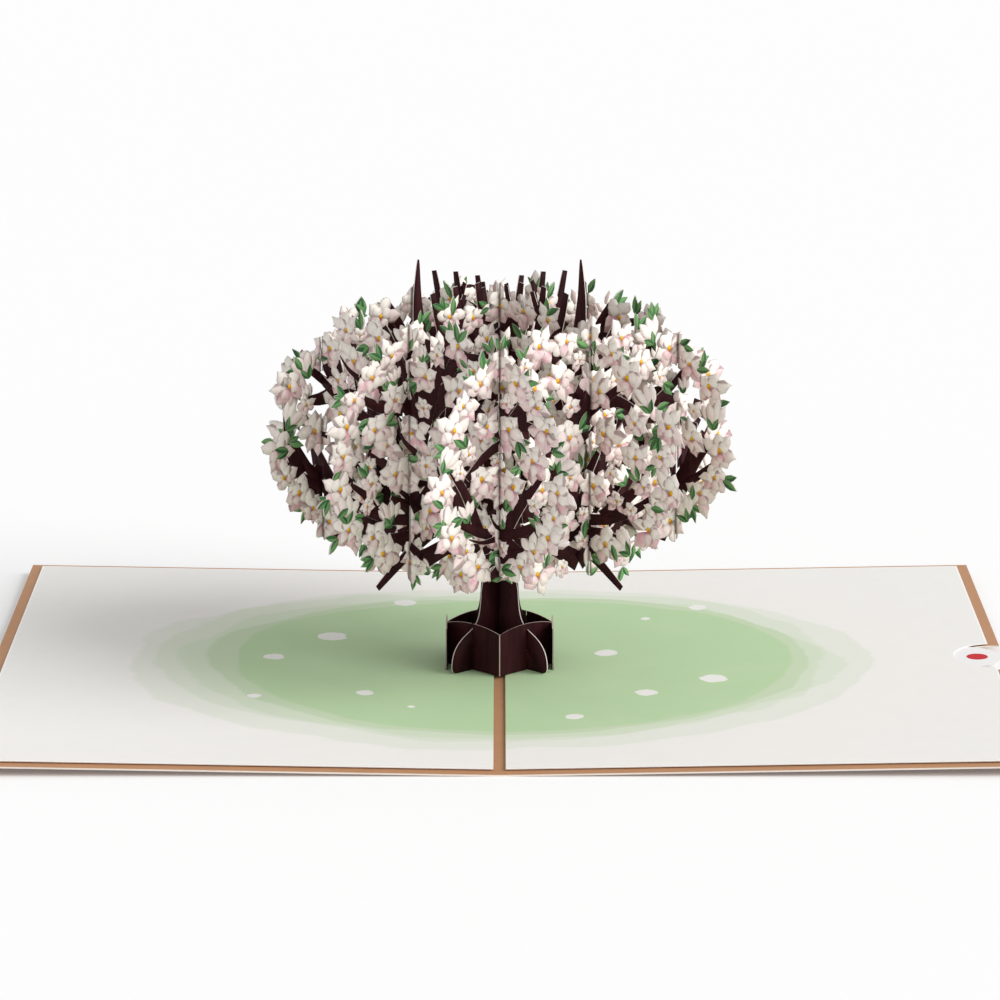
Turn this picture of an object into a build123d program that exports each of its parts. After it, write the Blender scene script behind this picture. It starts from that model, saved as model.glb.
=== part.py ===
from build123d import *
import math
import os
import random

# A greeting card that opens flat and raises a blossoming tree from its fold.
# The folded cover lies with its spine on the table. X runs across the two pages,
# Y along the spine towards the back, and Z up. The origin is under the spine's middle.

# Cover and pages
page_width = 127.0
card_depth = 177.8
cover_thickness = 0.4
spine_width = 2.9
page_tilt = 1.0
cut_overrun = 5.0

# Printed liners, and the adhesive strips that hold them off the cover
liner_thickness = 0.2
liner_border = 2.95
strip_thickness = 0.36
strip_width = 6.0
strip_inset = 0.8

# Slide-out note and the thumb notch that shows its tab
note_thickness = 0.25
note_side_clearance = 1.5
note_corner_radius = 2.5
note_tab_half_width = 9.0
note_tab_inset = 0.6
note_shoulder_inset = 14.0
notch_radius = 10.7
notch_centre_inset = 2.0

# Paper of the tree, and how its sheets cross
sheet_thickness = 0.3
lattice_angle = 41.5
slot_clearance = 0.12
lap_clearance = 0.15
page_clearance = 0.06

# Trunk with its root fins, as half widths and heights above the pages; its top lies
# some way below the canopy's waist
fin_reach = 15.9
fin_toe_radius = 1.6
fin_shoulder_reach = 11.8
fin_shoulder_height = 9.0
root_neck_reach = 7.9
root_neck_height = 11.7
trunk_half_width = 6.2
trunk_waist_height = 18.6
trunk_top_half_width = 5.2
trunk_top_drop = 20.7

# Collar round the roots, and the flaps that anchor it through the liners
collar_half_width = 13.3
collar_end_height = 10.6
collar_mid_height = 11.9
collar_lap_height = 5.2
collar_end_gap = 0.1
flap_length = 6.4
anchor_length = 5.0
anchor_slit_clearance = 0.1

# Canopy, measured above the pages
canopy_half_width = 60.4
lattice_half_share = 0.729
canopy_waist = 56.7
canopy_lap_rise = 5.3
centre_rise = 41.0
centre_drop = 32.0
outer_rise = 38.0
outer_drop = 31.0
canopy_roundness = 2.35
stem_width = 4.0
stem_inset = 4.0
stem_drop = 12.0
limb_width = 5.0
twig_end_width = 2.2
spike_tip_width = 0.5

# Blossoms, leaves and gaps, cut in one with each sheet
blossom_radius = 4.6
small_blossom_radius = 3.8
blossom_pitch = 9.6
petal_count = 5
petal_notch_share = 0.72
petal_tip_share = 0.22
leaf_length = 9.6
leaf_width = 3.0
leaf_pitch = 24.0
leaf_root_share = 0.88
leaf_swell_share = 0.65
body_pitch = 9.0
body_share = 0.93
gap_radius = 5.2
small_gap_radius = 3.6
gap_pitch = 18.0
gap_ring_shares = (0.74, 0.44)
gap_outline_shares = ((1.0, 0.0), (0.2, 0.35), (-0.3, 0.8), (-0.35, 0.1), (-0.8, -0.5), (0.1, -0.3))
scatter_share = 0.2

# Limbs on one side, as shares of the canopy's half length and of its height from
# the lowest bough to the crown; each runs through its places and tapers to the last.
# The spike stands on one side of each sheet only.
centre_limb_shares = (
    ((0.00, 0.02), (0.30, 0.17), (0.62, 0.22), (0.88, 0.36)),
    ((0.00, 0.10), (0.20, 0.38), (0.50, 0.60), (0.74, 0.76)),
    ((0.00, 0.20), (0.14, 0.56), (0.30, 0.82), (0.36, 1.00)),
    ((0.00, 0.30), (0.06, 0.70), (0.12, 1.01)),
    ((0.14, 0.56), (0.20, 0.80), (0.24, 1.01)),
    ((0.30, 0.17), (0.50, 0.07), (0.66, -0.03)),
)
spike_shares = ((0.42, 0.80), (0.44, 0.98), (0.435, 1.13))
outer_limb_shares = (
    ((0.00, 0.04), (0.30, 0.18), (0.62, 0.24), (0.88, 0.38)),
    ((0.00, 0.24), (0.24, 0.50), (0.54, 0.62), (0.76, 0.76)),
    ((0.00, 0.50), (0.12, 0.78), (0.24, 0.97)),
    ((0.30, 0.18), (0.46, 0.10), (0.56, 0.05)),
)


# Values that follow from the sizes above
angle = math.radians(lattice_angle)
tilt = math.radians(page_tilt)
lattice_half_width = lattice_half_share * canopy_half_width
lattice_offset = lattice_half_width * math.sin(angle)
crossing_shift = lattice_offset / math.tan(2 * angle)
crossing_reach = lattice_half_width / (2 * math.cos(angle))
outer_half_width = math.sqrt(canopy_half_width**2 - lattice_offset**2)
collar_end = (collar_end_gap + sheet_thickness) / 2
collar_half_depth = collar_half_width * math.tan(angle) + collar_end
collar_crossing = collar_half_depth / (2 * math.sin(angle))
fin_crossings = (-collar_crossing, collar_crossing)
slot_width = sheet_thickness * (1 + abs(math.cos(2 * angle))) / math.sin(2 * angle) + slot_clearance
page_run = page_width - spine_width / 2
liner_run = page_run - liner_border
liner_depth = card_depth - 2 * liner_border
strip_level = cover_thickness
liner_level = strip_level + strip_thickness
anchor_run = collar_half_width - spine_width / 2
anchor_level = strip_level + (strip_thickness - sheet_thickness) / 2
note_level = strip_level + (strip_thickness - note_thickness) / 2
note_start = anchor_run + anchor_length + note_side_clearance
note_half_height = liner_depth / 2 - strip_inset - strip_width - note_side_clearance
slot_reach = 4 * sheet_thickness
trunk_top_height = canopy_waist - trunk_top_drop
canopy_lap_height = canopy_waist + canopy_lap_rise
canopy_top = canopy_waist + 2 * centre_rise
fin_foot = max(fin_reach * math.cos(angle), collar_half_width) + sheet_thickness


def page_height(level, reach):
    """Height of a page's layer at a distance from the middle of the spine."""
    return level / math.cos(tilt) + (reach - spine_width / 2) * math.tan(tilt)


tree_base = page_height(liner_level + liner_thickness, fin_foot) + page_clearance


def page_plane(side, level):
    """A layer of the right (1) or left (-1) page; its x runs out from the fold."""
    page = Plane(
        origin=(side * spine_width / 2, 0, 0),
        x_dir=(side * math.cos(tilt), 0, math.sin(tilt)),
        z_dir=(-side * math.sin(tilt), 0, math.cos(tilt)),
    )
    return page.offset(level)


def sheet_plane(family, row):
    """Upright plane of a sheet, with its x along the sheet from the point nearest the axis.

    The sheets of family 1 run from front left to back right and those of family -1
    from front right to back left. Row 0 crosses the axis and rows 1 and -1 flank it.
    """
    heading = family * angle + (math.pi if row < 0 else 0)
    normal = Vector(math.sin(heading), -math.cos(heading), 0)
    foot = normal * (family * abs(row) * lattice_offset)
    return Plane(
        origin=(foot.X, foot.Y, tree_base),
        x_dir=(math.cos(heading), math.sin(heading), 0),
        z_dir=normal,
    )


def canopy_spot(bearing, share, half_width, rise, drop):
    """Place in a sheet at a bearing from the canopy's waist, as a share of the way out."""
    across = math.copysign(abs(math.cos(bearing)) ** (2 / canopy_roundness), math.cos(bearing))
    up = math.copysign(abs(math.sin(bearing)) ** (2 / canopy_roundness), math.sin(bearing))
    height = rise if up > 0 else drop
    return (
        share * across * (half_width - blossom_radius),
        canopy_waist + share * up * (height - blossom_radius),
    )


def crossings(shift):
    """Places along a sheet where the sheets of the other family cross it."""
    return [shift + crossing * crossing_reach for crossing in (-1, 0, 1)]


def crossing_bearings(shift, half_width):
    """Bearings from the canopy's waist of the outline over and under each crossing, in order."""
    above = []
    for place in reversed(crossings(shift)):
        share = abs(place) / (half_width - blossom_radius)
        above.append(math.acos(math.copysign(share ** (canopy_roundness / 2), place)))
    return above + [2 * math.pi - bearing for bearing in reversed(above)]


def ring_places(share, pitch, half_width, rise, drop, stops=(0,), lag=0):
    """Bearings about a pitch apart round one ring of the canopy, evenly spread from stop to stop."""
    girth = math.pi * (half_width + (rise + drop) / 2)
    bearings = []
    for start, end in zip(stops, [*stops[1:], stops[0] + 2 * math.pi]):
        count = max(round(share * girth / pitch * (end - start) / (2 * math.pi)), 1)
        bearings += [start + (end - start) * (number + lag) / count for number in range(count)]
    return bearings


def blossom_points(radius):
    """Outline of a blossom: blunt petals with a notch between each two."""
    points = []
    for petal in range(petal_count):
        for turn, share in ((-petal_tip_share, 1), (petal_tip_share, 1), (0.5, petal_notch_share)):
            bearing = 2 * math.pi * (petal + turn) / petal_count
            points.append((share * radius * math.cos(bearing), share * radius * math.sin(bearing)))
    return points


def limb_points(places, end_width):
    """Outline of a limb that tapers along its places and ends square."""
    left, right = [], []
    last = len(places) - 1
    for step, (across, up) in enumerate(places):
        before = places[max(step - 1, 0)]
        after = places[min(step + 1, last)]
        run = math.dist(before, after)
        half = (limb_width + (end_width - limb_width) * step / last) / 2
        aside = (before[1] - after[1]) / run * half
        above = (after[0] - before[0]) / run * half
        left.append((across + aside, up + above))
        right.append((across - aside, up - above))
    return left + right[::-1]


def add_limbs(limb_shares, half_width, rise, drop):
    """Adds each limb and its mirror image to the sketch that is open."""
    foot = canopy_waist - drop + stem_inset
    climb = canopy_waist + rise - foot
    for shares in limb_shares:
        places = [(across * half_width, foot + up * climb) for across, up in shares]
        Polygon(*limb_points(places, twig_end_width), align=None)
        Polygon(*limb_points([(-across, up) for across, up in places], twig_end_width), align=None)


def add_spike(side, half_width, rise, drop):
    """Adds the pointed shoot that stands above the crown on one side."""
    foot = canopy_waist - drop + stem_inset
    climb = canopy_waist + rise - foot
    places = [(side * across * half_width, foot + up * climb) for across, up in spike_shares]
    Polygon(*limb_points(places, spike_tip_width), align=None)


def add_stem(across, half_width, rise, drop):
    """Adds the upright strip that carries a crossing, inside the canopy's outline."""
    inside = (1 - abs(across / half_width) ** canopy_roundness) ** (1 / canopy_roundness)
    top = canopy_waist + inside * rise - stem_inset
    foot = canopy_waist - inside * drop + stem_inset
    with Locations((across, (top + foot) / 2)):
        Rectangle(stem_width, top - foot)


def add_blossoms(stops, half_width, rise, drop, chance):
    """Adds the blossoms of the outline to the open sketch, one on each crossing's stop."""
    places = [[], []]
    for number, bearing in enumerate(ring_places(1, blossom_pitch, half_width, rise, drop, stops)):
        spot = canopy_spot(bearing, 1 - chance.uniform(0, scatter_share) / 2, half_width, rise, drop)
        places[number % 2].append(Location(spot, chance.uniform(0, 360)))
    for radius, spots in zip((blossom_radius, small_blossom_radius), places):
        with Locations(*spots):
            Polygon(*blossom_points(radius), align=None)


def add_body(half_width, rise, drop, chance):
    """Adds the crown's sheet of printed blossoms to the open sketch, pierced with gaps."""
    bearings = ring_places(1, body_pitch, half_width, rise, drop)
    outline = [canopy_spot(bearing, body_share, half_width, rise, drop) for bearing in bearings]
    Polygon(*outline, align=None)
    places = [[], []]
    for share in gap_ring_shares:
        for number, bearing in enumerate(ring_places(share, gap_pitch, half_width, rise, drop)):
            stray = bearing + chance.uniform(-scatter_share, scatter_share) / share
            spot = canopy_spot(stray, share, half_width, rise, drop)
            places[number % 2].append(Location(spot, chance.uniform(0, 360)))
    for radius, spots in zip((gap_radius, small_gap_radius), places):
        with Locations(*spots):
            gap = [(across * radius, up * radius) for across, up in gap_outline_shares]
            Polygon(*gap, align=None, mode=Mode.SUBTRACT)


def add_leaves(stops, half_width, rise, drop):
    """Adds leaves that point out from the outline, clear of the crossings, to the open sketch."""
    places = []
    for bearing in ring_places(1, leaf_pitch, half_width, rise, drop, stops, lag=0.5):
        spot = canopy_spot(bearing, leaf_root_share, half_width, rise, drop)
        places.append(Location(spot, math.degrees(bearing)))
    swell = leaf_swell_share * leaf_length
    with Locations(*places):
        Polygon((0, 0), (swell, -leaf_width / 2), (leaf_length, 0), (swell, leaf_width / 2), align=None)


# Trunk and root fins, in the plane of a sheet
with BuildSketch() as trunk_outline:
    with BuildLine():
        base = Line((0, 0), (fin_reach - fin_toe_radius, 0))
        toe = RadiusArc(base @ 1, (fin_reach, fin_toe_radius), -fin_toe_radius)
        flank = Spline(
            toe @ 1,
            (fin_shoulder_reach, fin_shoulder_height),
            (root_neck_reach, root_neck_height),
            (trunk_half_width, trunk_waist_height),
            (trunk_top_half_width, trunk_top_height),
            tangents=((0, 1), (0, 1)),
        )
        Polyline(flank @ 1, (0, trunk_top_height), base @ 0)
    make_face()
    mirror(about=Plane.YZ)

# Die-cut outline that both sheets through the axis share: crown, trunk and roots
with BuildSketch() as centre_outline:
    centre_chance = random.Random(3)
    add_body(canopy_half_width, centre_rise, centre_drop, centre_chance)
    add(trunk_outline.sketch)
    add_limbs(centre_limb_shares, canopy_half_width, centre_rise, centre_drop)
    for place in (-crossing_reach, crossing_reach):
        add_stem(place, canopy_half_width, centre_rise, centre_drop)
    add_stem(0, canopy_half_width, centre_rise, centre_drop - stem_drop)
    centre_stops = crossing_bearings(0, canopy_half_width)
    add_leaves(centre_stops, canopy_half_width, centre_rise, centre_drop)
    add_blossoms(centre_stops, canopy_half_width, centre_rise, centre_drop, centre_chance)

# Die-cut outline that the four flanking sheets share: crown alone
with BuildSketch() as outer_outline:
    outer_chance = random.Random(3)
    add_body(outer_half_width, outer_rise, outer_drop, outer_chance)
    add_limbs(outer_limb_shares, outer_half_width, outer_rise, outer_drop)
    for place in crossings(crossing_shift):
        add_stem(place, outer_half_width, outer_rise, outer_drop)
    outer_stops = crossing_bearings(crossing_shift, outer_half_width)
    add_leaves(outer_stops, outer_half_width, outer_rise, outer_drop)
    add_blossoms(outer_stops, outer_half_width, outer_rise, outer_drop, outer_chance)


os.makedirs("parts", exist_ok=True)


def export(piece, label):
    """Names a finished piece and writes it."""
    piece.part.label = label
    export_step(piece.part, f"parts/{label}.step")


# Folded cover: two pages that rise a little from the spine, with the thumb notch
with BuildPart() as cover:
    with BuildSketch(Plane.XZ):
        with BuildLine():
            under = Line((0, 0), (spine_width / 2, 0))
            page = PolarLine(under @ 1, page_run, page_tilt)
            edge = PolarLine(page @ 1, cover_thickness, page_tilt + 90)
            inner_fold = spine_width / 2 - cover_thickness * math.tan(tilt / 2)
            Polyline(edge @ 1, (inner_fold, cover_thickness), (0, cover_thickness), under @ 0)
        make_face()
        mirror(about=Plane.YZ)
    extrude(amount=card_depth / 2, both=True)
    with BuildSketch(page_plane(1, 0)):
        with Locations((page_run - notch_centre_inset, 0)):
            Circle(notch_radius)
    extrude(amount=cut_overrun, both=True, mode=Mode.SUBTRACT)
export(cover, "cover")


# Printed liners, each slit for the collar's flaps, the right one notched
def make_liner(side):
    with BuildPart() as liner:
        with BuildSketch(page_plane(side, liner_level)):
            Rectangle(liner_run, liner_depth, align=(Align.MIN, Align.CENTER))
            slit_width = sheet_thickness + 2 * anchor_slit_clearance
            slit_length = 2 * (flap_length + anchor_slit_clearance) + collar_end_gap
            with Locations((anchor_run, 0)):
                Rectangle(slit_width, slit_length, mode=Mode.SUBTRACT)
            if side > 0:
                with Locations((page_run - notch_centre_inset, 0)):
                    Circle(notch_radius, mode=Mode.SUBTRACT)
        extrude(amount=liner_thickness)
    return liner


for side, name in ((-1, "left"), (1, "right")):
    export(make_liner(side), f"liner_{name}")


# Adhesive strips round each liner; the right page has none at its outer edge
def make_strip(side, middle, size):
    with BuildPart() as strip:
        with BuildSketch(page_plane(side, strip_level)):
            with Locations(middle):
                Rectangle(*size)
        extrude(amount=strip_thickness)
    return strip


strip_length = liner_run - 2 * strip_inset
side_strip_length = liner_depth - 2 * (strip_inset + strip_width)
strip_row = liner_depth / 2 - strip_inset - strip_width / 2
for side, name in ((-1, "left"), (1, "right")):
    for facing, place in ((-1, "front"), (1, "back")):
        middle = (liner_run / 2, facing * side * strip_row)
        export(make_strip(side, middle, (strip_length, strip_width)), f"tape_{name}_{place}")
    middle = (strip_inset + strip_width / 2, 0)
    export(make_strip(side, middle, (strip_width, side_strip_length)), f"tape_{name}_inner")
middle = (liner_run - strip_inset - strip_width / 2, 0)
export(make_strip(-1, middle, (strip_width, side_strip_length)), "tape_left_outer")

# Slide-out note in the pocket under the right liner, its tab showing in the notch
with BuildPart() as note_card:
    with BuildSketch(page_plane(1, note_level)) as note_outline:
        with BuildLine():
            shoulder = page_run - note_shoulder_inset
            tab_middle = page_run - note_tab_inset - note_tab_half_width
            start = Polyline(
                (tab_middle, -note_tab_half_width),
                (shoulder, -note_tab_half_width),
                (shoulder, -note_half_height),
                (note_start, -note_half_height),
                (note_start, note_half_height),
                (shoulder, note_half_height),
                (shoulder, note_tab_half_width),
                (tab_middle, note_tab_half_width),
            )
            ThreePointArc(start @ 1, (tab_middle + note_tab_half_width, 0), start @ 0)
        make_face()
        corners = note_outline.vertices().group_by(Axis.Y)
        fillet(corners[0] + corners[-1], note_corner_radius)
    extrude(amount=note_thickness)
export(note_card, "note_card")


# Collar: two folded strips that meet at its side corners, each anchored by two flaps
def make_collar(facing):
    """The front (-1) or back (1) strip, slotted where the root fins cross it."""
    end = facing * collar_end
    flap_end = end + facing * (flap_length - sheet_thickness)
    flap_middle = (end + flap_end) / 2
    with BuildPart() as collar:
        with BuildSketch(Plane.XY.offset(tree_base)):
            with BuildLine():
                Polyline(
                    (-collar_half_width, flap_end),
                    (-collar_half_width, end),
                    (0, facing * collar_half_depth),
                    (collar_half_width, end),
                    (collar_half_width, flap_end),
                )
                offset(amount=sheet_thickness / 2)
            make_face()
        extrude(amount=collar_mid_height)
        with BuildSketch(Plane.XZ):
            with BuildLine():
                rim_end = (collar_half_width, tree_base + collar_end_height)
                rim_middle = (collar_half_width / 2, tree_base + collar_mid_height)
                rim = ThreePointArc((0, rim_end[1]), rim_middle, rim_end)
                reach = collar_half_width + sheet_thickness
                Polyline(rim @ 1, (reach, rim_end[1]), (reach, 0), (0, 0), rim @ 0)
            make_face()
            mirror(about=Plane.YZ)
        extrude(amount=card_depth, both=True, mode=Mode.INTERSECT)
        for side in (-1, 1):
            foot = page_height(anchor_level, collar_half_width + sheet_thickness / 2)
            with BuildSketch(Plane.XY.offset(foot)):
                with Locations((side * collar_half_width, flap_middle)):
                    Rectangle(sheet_thickness, flap_length - sheet_thickness)
            extrude(amount=tree_base + sheet_thickness - foot)
            with BuildSketch(page_plane(side, anchor_level)):
                with Locations((anchor_run - sheet_thickness / 2, side * flap_middle)):
                    Rectangle(anchor_length, flap_length - sheet_thickness, align=(Align.MIN, Align.CENTER))
            extrude(amount=sheet_thickness)
        for family, low, high in (
            (1, collar_lap_height - lap_clearance / 2, collar_mid_height + cut_overrun),
            (-1, -sheet_thickness, collar_lap_height + lap_clearance / 2),
        ):
            with BuildSketch(sheet_plane(family, 0)):
                with Locations((family * facing * collar_crossing, (low + high) / 2)):
                    Rectangle(slot_reach, high - low)
            extrude(amount=(sheet_thickness + slot_clearance) / 2, both=True, mode=Mode.SUBTRACT)
    return collar


for facing, name in ((-1, "front"), (1, "back")):
    export(make_collar(facing), f"collar_{name}")


# Tree: two families of sheets, halved over each other where they cross
def cut_slots(places, low, high):
    """Cuts upright slots from the sheet's outline that is open."""
    with Locations(*[(place, (low + high) / 2) for place in places]):
        Rectangle(slot_width, high - low, mode=Mode.SUBTRACT)


def make_sheet(family, row):
    """A sheet of family 1, slotted from below, or of family -1, slotted from above."""
    places = crossings(crossing_shift if row else 0)
    with BuildPart() as sheet:
        with BuildSketch(sheet_plane(family, row).offset(-sheet_thickness / 2)):
            add(outer_outline.sketch if row else centre_outline.sketch)
            if not row:
                add_spike(-family, canopy_half_width, centre_rise, centre_drop)
            if family > 0:
                cut_slots(places, -cut_overrun, canopy_lap_height + lap_clearance / 2)
            else:
                cut_slots(places, canopy_lap_height - lap_clearance / 2, canopy_top)
            if not row and family > 0:
                cut_slots(fin_crossings, -cut_overrun, collar_lap_height + lap_clearance / 2)
            elif not row:
                cut_slots(fin_crossings, collar_lap_height - lap_clearance / 2, trunk_waist_height)
        extrude(amount=sheet_thickness)
    return sheet


for family, name in ((1, "a"), (-1, "b")):
    export(make_sheet(family, 0), f"tree_sheet_{name}_centre")
    for row, place in ((-1, "left"), (1, "right")):
        export(make_sheet(family, row), f"tree_sheet_{name}_{place}")
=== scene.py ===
import math
import random
import bmesh
import bpy
import numpy as np
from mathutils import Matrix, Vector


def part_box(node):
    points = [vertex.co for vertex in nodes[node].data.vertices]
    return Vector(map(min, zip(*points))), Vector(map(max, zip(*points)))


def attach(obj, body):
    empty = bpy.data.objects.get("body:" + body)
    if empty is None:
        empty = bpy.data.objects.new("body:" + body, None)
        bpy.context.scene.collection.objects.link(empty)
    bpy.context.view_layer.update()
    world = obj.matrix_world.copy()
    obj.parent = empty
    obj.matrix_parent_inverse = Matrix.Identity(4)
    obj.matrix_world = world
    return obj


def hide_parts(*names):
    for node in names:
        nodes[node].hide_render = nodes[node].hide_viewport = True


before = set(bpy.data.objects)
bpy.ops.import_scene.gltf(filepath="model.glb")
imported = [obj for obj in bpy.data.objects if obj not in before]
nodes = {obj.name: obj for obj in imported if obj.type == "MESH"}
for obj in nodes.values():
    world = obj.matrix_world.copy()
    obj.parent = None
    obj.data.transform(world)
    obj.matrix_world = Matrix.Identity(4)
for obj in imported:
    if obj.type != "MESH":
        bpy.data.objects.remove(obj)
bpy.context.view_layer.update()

mm = 0.001
turn = 2 * math.pi
scene = bpy.context.scene


# Camera, stage and lights

camera = {
    "place": (0.0001, -1.0250, 0.3048),
    "pitch": 14.303,  # degrees below level
    "lens": 152.65,
    "sensor": 36.0,
    "clip": (0.01, 50.0),
}
stage = {
    "reach": 6.0,
    "floorTone": 0.90,
    "floorRoughness": 0.9,
    "floorGlow": 0.12,  # seen only by the camera, in glosses and through glass
}
light = {
    "skyStrength": 0.57,
    "sunPower": 2.40,
    "sunFrom": (0.86, -0.29),  # to the front right
    "sunHeight": 31.0,
    "sunSpread": 42.0,
}


def addObject(name, data):
    thing = bpy.data.objects.new(name, data)
    scene.collection.objects.link(thing)
    return thing


def makeCamera():
    data = bpy.data.cameras.new("photoCamera")
    data.lens = camera["lens"]
    data.sensor_width = camera["sensor"]
    data.clip_start, data.clip_end = camera["clip"]
    eye = addObject("photoCamera", data)
    eye.location = camera["place"]
    eye.rotation_euler = (math.radians(90 - camera["pitch"]), 0, 0)
    scene.camera = eye


def makeSun():
    data = bpy.data.lights.new("windowLight", "SUN")
    data.energy = light["sunPower"]
    data.angle = math.radians(light["sunSpread"])
    sun = addObject("windowLight", data)
    bearing = math.atan2(light["sunFrom"][1], light["sunFrom"][0])
    sun.rotation_euler = (0, math.radians(90 - light["sunHeight"]), bearing)


# Short ways to write node trees

def join(tree, node, inputs):
    # links each input that is given a socket, and sets the others
    for key, value in inputs.items():
        if isinstance(value, bpy.types.NodeSocket):
            tree.links.new(value, node.inputs[key])
        else:
            node.inputs[key].default_value = value


def addNode(tree, kind, inputs=None, **settings):
    node = tree.nodes.new("ShaderNode" + kind)
    for key, value in settings.items():
        setattr(node, key, value)
    join(tree, node, inputs or {})
    return node


def sums(tree, operation, first, second=0.0, third=0.0, clamp=False):
    inputs = {0: first, 1: second, 2: third}
    return addNode(tree, "Math", inputs, operation=operation, use_clamp=clamp).outputs[0]


def vectors(tree, operation, first, second=(0, 0, 0)):
    # vector arithmetic; a length or a dot product comes out as a number
    outputs = addNode(tree, "VectorMath", {0: first, 1: second}, operation=operation).outputs
    return outputs["Value" if operation in ("LENGTH", "DOT_PRODUCT") else "Vector"]


def axes(tree, vector):
    return addNode(tree, "SeparateXYZ", {0: vector}).outputs


def ramp(tree, value, low, high, toLow=0.0, toHigh=1.0):
    # smooth step of a value from one end to the other
    inputs = {"Value": value, "From Min": low, "From Max": high, "To Min": toLow, "To Max": toHigh}
    node = addNode(tree, "MapRange", inputs, interpolation_type="SMOOTHSTEP", clamp=True)
    return node.outputs["Result"]


def blend(tree, factor, first, second):
    return addNode(tree, "Mix", {0: factor, 6: first, 7: second}, data_type="RGBA").outputs[2]


def tone(red, green, blue):
    # a screen colour from 0 to 255, as linear light
    def linear(level):
        level = level / 255
        return level / 12.92 if level <= 0.04045 else ((level + 0.055) / 1.055) ** 2.4
    return (linear(red), linear(green), linear(blue), 1.0)


socketKinds = {1: "NodeSocketFloat", 3: "NodeSocketVector", 4: "NodeSocketColor"}
white = (1.0, 1.0, 1.0, 1.0)
origin = (0.0, 0.0, 0.0)


def makeGroup(name, outputs={"Mask": 0.0}, **inputs):
    # each socket has the value that it starts with, which tells its kind
    tree = bpy.data.node_groups.new(name, "ShaderNodeTree")
    for way, sockets in (("INPUT", inputs), ("OUTPUT", outputs)):
        for label, start in sockets.items():
            kind = socketKinds[np.size(start)]
            tree.interface.new_socket(label, in_out=way, socket_type=kind).default_value = start
    return tree, tree.nodes.new("NodeGroupInput").outputs, tree.nodes.new("NodeGroupOutput")


def useGroup(tree, group, **inputs):
    return addNode(tree, "Group", inputs, node_tree=group).outputs


def objectPlace(tree):
    # place on the object, in millimetres
    place = addNode(tree, "TexCoord").outputs["Object"]
    return addNode(tree, "VectorMath", {0: place, "Scale": 1 / mm}, operation="SCALE").outputs[0]


def noise(tree, place, scale, detail=2.0, rough=0.5):
    inputs = {"Vector": place, "Scale": scale, "Detail": detail, "Roughness": rough}
    return addNode(tree, "TexNoise", inputs).outputs[0]


# Floor and room

def seenDirectly(tree):
    # 1 on rays from the camera, from glosses and through glass
    rays = addNode(tree, "LightPath").outputs
    seen = sums(tree, "MAXIMUM", rays["Is Camera Ray"], rays["Is Glossy Ray"])
    return sums(tree, "MAXIMUM", seen, rays["Is Transmission Ray"])


def makeStage():
    # a flat square floor, and a room that is white where it is seen
    reach = stage["reach"]
    corners = [(-reach, -reach, 0), (reach, -reach, 0), (reach, reach, 0), (-reach, reach, 0)]
    mesh = bpy.data.meshes.new("floor")
    mesh.from_pydata(corners, [], [(0, 1, 2, 3)])
    floor = addObject("floor", mesh)
    material = bpy.data.materials.new("paleFloor")
    material.use_nodes = True
    tree = material.node_tree
    join(tree, tree.nodes["Principled BSDF"], {
        "Base Color": (stage["floorTone"],) * 3 + (1,),
        "Roughness": stage["floorRoughness"],
        "Specular IOR Level": 0.0,
        "Emission Color": white,
        "Emission Strength": sums(tree, "MULTIPLY", seenDirectly(tree), stage["floorGlow"]),
    })
    mesh.materials.append(material)

    world = bpy.data.worlds.new("paleRoom")
    world.use_nodes = True
    scene.world = world
    tree = world.node_tree
    strength = sums(tree, "MAXIMUM", seenDirectly(tree), light["skyStrength"])
    join(tree, tree.nodes["Background"], {"Color": white, "Strength": strength})


scene.view_settings.view_transform = "Standard"
makeCamera()
makeSun()
makeStage()
print("stage: camera, light and floor are set")


# How the tree sheets cross: half the angle between the families and the step between rows

lattice = {"angle": math.radians(41.5), "share": 0.729, "halfWidth": 60.4}
lattice["reach"] = lattice["share"] * lattice["halfWidth"]
lattice["offset"] = lattice["reach"] * math.sin(lattice["angle"])
lattice["shift"] = lattice["offset"] / math.tan(2 * lattice["angle"])
lattice["crossing"] = lattice["reach"] / (2 * math.cos(lattice["angle"]))


# Effects that several papers share

def makeGrain():
    # fibres and a faint mottle that every paper has
    outputs = {"Colour": white, "Height": 0.0}
    tree, given, made = makeGroup("paperGrain", outputs, Colour=white, Mottle=0.04, Fibre=1.6)
    place = objectPlace(tree)
    cloud = noise(tree, place, 0.22, 3.0)
    fibre = noise(tree, place, given["Fibre"], 3.0, 0.65)
    speck = noise(tree, place, 7.0, 1.0)
    mixed = sums(tree, "MULTIPLY_ADD", cloud, 0.6, sums(tree, "MULTIPLY", fibre, 0.4))
    shade = sums(tree, "SUBTRACT", mixed, 0.5)
    level = sums(tree, "MULTIPLY_ADD", shade, sums(tree, "MULTIPLY", given["Mottle"], 2.0), 1.0)
    scaled = addNode(tree, "VectorMath", {0: given["Colour"], "Scale": level}, operation="SCALE")
    height = sums(tree, "MULTIPLY_ADD", speck, 0.35, fibre)
    join(tree, made, {"Colour": scaled.outputs[0], "Height": height})
    return tree


def makeCut():
    # mask of a sheet's cut edges: the upright faces of a sheet that lies flat (Upright 0), or
    # the level faces of one that stands (Upright 1)
    tree, given, made = makeGroup("cutEdgeMask", Upright=0.0)
    facing = addNode(tree, "TexCoord").outputs["Normal"]
    rise = sums(tree, "ABSOLUTE", axes(tree, facing)["Z"])
    lying = ramp(tree, rise, 0.85, 0.55)
    standing = ramp(tree, rise, 0.55, 0.85)
    gap = sums(tree, "SUBTRACT", standing, lying)
    join(tree, made, {"Mask": sums(tree, "MULTIPLY_ADD", gap, given["Upright"], lying)})
    return tree


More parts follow.
